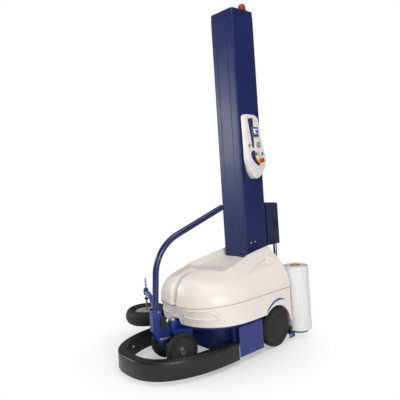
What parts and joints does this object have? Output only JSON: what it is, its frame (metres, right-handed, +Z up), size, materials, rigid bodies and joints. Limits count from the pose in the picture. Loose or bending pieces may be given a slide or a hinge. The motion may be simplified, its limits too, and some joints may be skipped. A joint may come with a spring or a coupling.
{
  "type": "mobile pallet wrapping robot",
  "caption": "Self-propelled stretch-wrapping robot: low wheeled chassis under a domed cover, tall mast with control panel, film carriage, steering tiller, feeler wheel and ring bumper.",
  "frame": {"origin": "middle of the bounding box, on the floor that the wheels stand on", "axes": "+Z up the mast; -X towards the bumper nose; -Y the side with the control panel and the film roll"},
  "size_m": [1.512, 1.1472, 2.7373],
  "materials": {
    "battery_pack": "battery case",
    "beacon_base": "fine moulded texture",
    "beacon_lens": "smooth moulding",
    "bumper_band": "gloss powder coat",
    "bumper_skin": "fine moulded texture",
    "carriage_cover": "gloss powder coat",
    "carriage_frame": "gloss powder coat",
    "chassis_frame": "gloss powder coat",
    "display": "smooth moulding",
    "drive_pulley": "turned",
    "drive_roller": "smooth roller",
    "drive_unit": "gloss powder coat",
    "estop_collar": "fine moulded texture",
    "estop_mushroom": "smooth moulding",
    "feeler_arm": "gloss powder coat",
    "feeler_collar_lower": "turned",
    "feeler_collar_upper": "turned",
    "feeler_rim": "cast",
    "feeler_rod": "turned",
    "feeler_tyre": "moulded tread",
    "film_core": "wound tube",
    "film_roll": "clear stretch film wound to a roll",
    "front_axle": "turned",
    "front_hub_left": "fine moulded texture",
    "front_hub_right": "fine moulded texture",
    "front_tyre_left": "moulded tread",
    "front_tyre_right": "moulded tread",
    "half_axle_left": "turned",
    "half_axle_right": "turned",
    "idle_roller": "turned",
    "key_switch": "turned",
    "keypad": "fine moulded texture",
    "lift_belt": "belt",
    "lift_motor": "gloss powder coat",
    "lock_knob": "fine moulded texture",
    "lower_cover": "smooth thermoformed shell",
    "mast_cap": "fine moulded texture",
    "mast_column": "gloss powder coat",
    "mode_button": "smooth moulding",
    "panel_back": "gloss powder coat",
    "panel_housing": "smooth moulding",
    "rear_bracket": "gloss powder coat",
    "rear_disc_left": "fine moulded texture",
    "rear_disc_right": "fine moulded texture",
    "rear_tyre_left": "moulded tread",
    "rear_tyre_right": "moulded tread",
    "reel_spindle": "gloss powder coat",
    "reset_button": "smooth moulding",
    "side_panel_left": "gloss powder coat",
    "side_panel_right": "gloss powder coat",
    "start_button": "smooth moulding",
    "steering_bogie": "gloss powder coat",
    "steering_spindle": "turned",
    "tie_rod": "turned",
    "tiller_end_cap": "fine moulded texture",
    "tiller_plate": "gloss powder coat",
    "tiller_tube": "gloss powder coat",
    "top_pulley": "turned",
    "upper_hood": "smooth thermoformed shell"
  },
  "bodies": {
    "chassis": {"chassis_frame": "chassis_frame", "side_panel_left": "side_panel_left", "side_panel_right": "side_panel_right", "battery_pack": "battery_pack", "drive_unit": "drive_unit", "lower_cover": "lower_cover", "upper_hood": "upper_hood", "mast_column": "mast_column", "mast_cap": "mast_cap", "beacon_base": "beacon_base", "beacon_lens": "beacon_lens", "lift_motor": "lift_motor", "lift_belt": "lift_belt", "panel_back": "panel_back", "panel_housing": "panel_housing", "display": "display", "keypad": "keypad", "estop_collar": "estop_collar", "rear_bracket": "rear_bracket"},
    "steering": {"steering_bogie": "steering_bogie", "steering_spindle": "steering_spindle", "front_axle": "front_axle", "tiller_plate": "tiller_plate", "tiller_tube": "tiller_tube", "tiller_end_cap": "tiller_end_cap", "tie_rod": "tie_rod", "feeler_arm": "feeler_arm"},
    "front_wheel_left": {"front_tyre_left": "front_tyre_left", "front_hub_left": "front_hub_left"},
    "front_wheel_right": {"front_tyre_right": "front_tyre_right", "front_hub_right": "front_hub_right"},
    "rear_wheel_left": {"rear_tyre_left": "rear_tyre_left", "rear_disc_left": "rear_disc_left", "half_axle_left": "half_axle_left"},
    "rear_wheel_right": {"rear_tyre_right": "rear_tyre_right", "rear_disc_right": "rear_disc_right", "half_axle_right": "half_axle_right"},
    "feeler_post": {"feeler_rod": "feeler_rod", "feeler_collar_upper": "feeler_collar_upper", "feeler_collar_lower": "feeler_collar_lower"},
    "feeler_wheel": {"feeler_tyre": "feeler_tyre", "feeler_rim": "feeler_rim"},
    "bumper": {"bumper_skin": "bumper_skin", "bumper_band": "bumper_band"},
    "carriage": {"carriage_frame": "carriage_frame", "carriage_cover": "carriage_cover"},
    "reel": {"reel_spindle": "reel_spindle", "film_core": "film_core", "film_roll": "film_roll"},
    "idle": {"idle_roller": "idle_roller"},
    "drive": {"drive_roller": "drive_roller"},
    "lower_pulley": {"drive_pulley": "drive_pulley"},
    "upper_pulley": {"top_pulley": "top_pulley"},
    "start": {"start_button": "start_button"},
    "reset": {"reset_button": "reset_button"},
    "mode": {"mode_button": "mode_button"},
    "estop": {"estop_mushroom": "estop_mushroom"},
    "key": {"key_switch": "key_switch"},
    "knob": {"lock_knob": "lock_knob"}
  },
  "joints": [
    {"name": "steering_turn", "type": "hinge", "parent": "chassis", "child": "steering", "pos_m": [-0.358, -0.11381, 0], "axis": [0, 0, 1], "range_deg": [0, 50]},
    {"name": "front_wheel_left_spin", "type": "hinge", "parent": "steering", "child": "front_wheel_left", "pos_m": [-0.358, -0.11381, 0.118], "axis": [0.1908, 0.9816, 0], "continuous": true},
    {"name": "front_wheel_right_spin", "type": "hinge", "parent": "steering", "child": "front_wheel_right", "pos_m": [-0.358, -0.11381, 0.118], "axis": [0.1908, 0.9816, 0], "continuous": true},
    {"name": "rear_wheel_left_spin", "type": "hinge", "parent": "chassis", "child": "rear_wheel_left", "pos_m": [0.344, -0.11381, 0.15], "axis": [0, 1, 0], "continuous": true},
    {"name": "rear_wheel_right_spin", "type": "hinge", "parent": "chassis", "child": "rear_wheel_right", "pos_m": [0.344, -0.11381, 0.15], "axis": [0, 1, 0], "continuous": true},
    {"name": "feeler_float", "type": "slide", "parent": "steering", "child": "feeler_post", "axis": [0, 0, 1], "range_m": [0, 0.025]},
    {"name": "feeler_wheel_spin", "type": "hinge", "parent": "feeler_post", "child": "feeler_wheel", "pos_m": [-0.22838, 0.39581, 0.214], "axis": [0, 0, 1], "continuous": true},
    {"name": "bumper_push", "type": "slide", "parent": "chassis", "child": "bumper", "axis": [1, 0, 0], "range_m": [0, 0.015], "stiffness_N_per_m": 1500},
    {"name": "carriage_lift", "type": "slide", "parent": "chassis", "child": "carriage", "axis": [0, 0, 1], "range_m": [0, 1.55]},
    {"name": "drive_pulley_turn", "type": "hinge", "parent": "chassis", "child": "lower_pulley", "pos_m": [0.48, -0.11381, 0.42], "axis": [0, -1, 0], "range_deg": [0, 2468]},
    {"name": "top_pulley_turn", "type": "hinge", "parent": "chassis", "child": "upper_pulley", "pos_m": [0.48, -0.11381, 2.54], "axis": [0, -1, 0], "range_deg": [0, 2468]},
    {"name": "reel_spin", "type": "hinge", "parent": "carriage", "child": "reel", "pos_m": [0.634, -0.47381, 0], "axis": [0, 0, 1], "continuous": true},
    {"name": "idle_roller_spin", "type": "hinge", "parent": "carriage", "child": "idle", "pos_m": [0.718, -0.20882, 0], "axis": [0, 0, 1], "continuous": true},
    {"name": "drive_roller_spin", "type": "hinge", "parent": "carriage", "child": "drive", "pos_m": [0.664, -0.06882, 0], "axis": [0, 0, 1], "continuous": true},
    {"name": "start_press", "type": "slide", "parent": "chassis", "child": "start", "axis": [0, 1, 0], "range_m": [0, 0.003], "stiffness_N_per_m": 400},
    {"name": "reset_press", "type": "slide", "parent": "chassis", "child": "reset", "axis": [0, 1, 0], "range_m": [0, 0.003], "stiffness_N_per_m": 400},
    {"name": "mode_press", "type": "slide", "parent": "chassis", "child": "mode", "axis": [0, 1, 0], "range_m": [0, 0.003], "stiffness_N_per_m": 400},
    {"name": "estop_press", "type": "slide", "parent": "chassis", "child": "estop", "axis": [0, 1, 0], "range_m": [0, 0.006]},
    {"name": "key_turn", "type": "hinge", "parent": "chassis", "child": "key", "pos_m": [0.372, -0.30152, 1.542], "axis": [0, 1, 0], "range_deg": [0, 90]},
    {"name": "lock_knob_turn", "type": "hinge", "parent": "chassis", "child": "knob", "pos_m": [0.511, -0.47981, 0.06], "axis": [0, 0, 1], "range_deg": [0, 720]}
  ],
  "couplings": [
    {"joint": "drive_pulley_turn", "follows": "carriage_lift", "rad_per_m": 27.778},
    {"joint": "top_pulley_turn", "follows": "carriage_lift", "rad_per_m": 27.778}
  ]
}
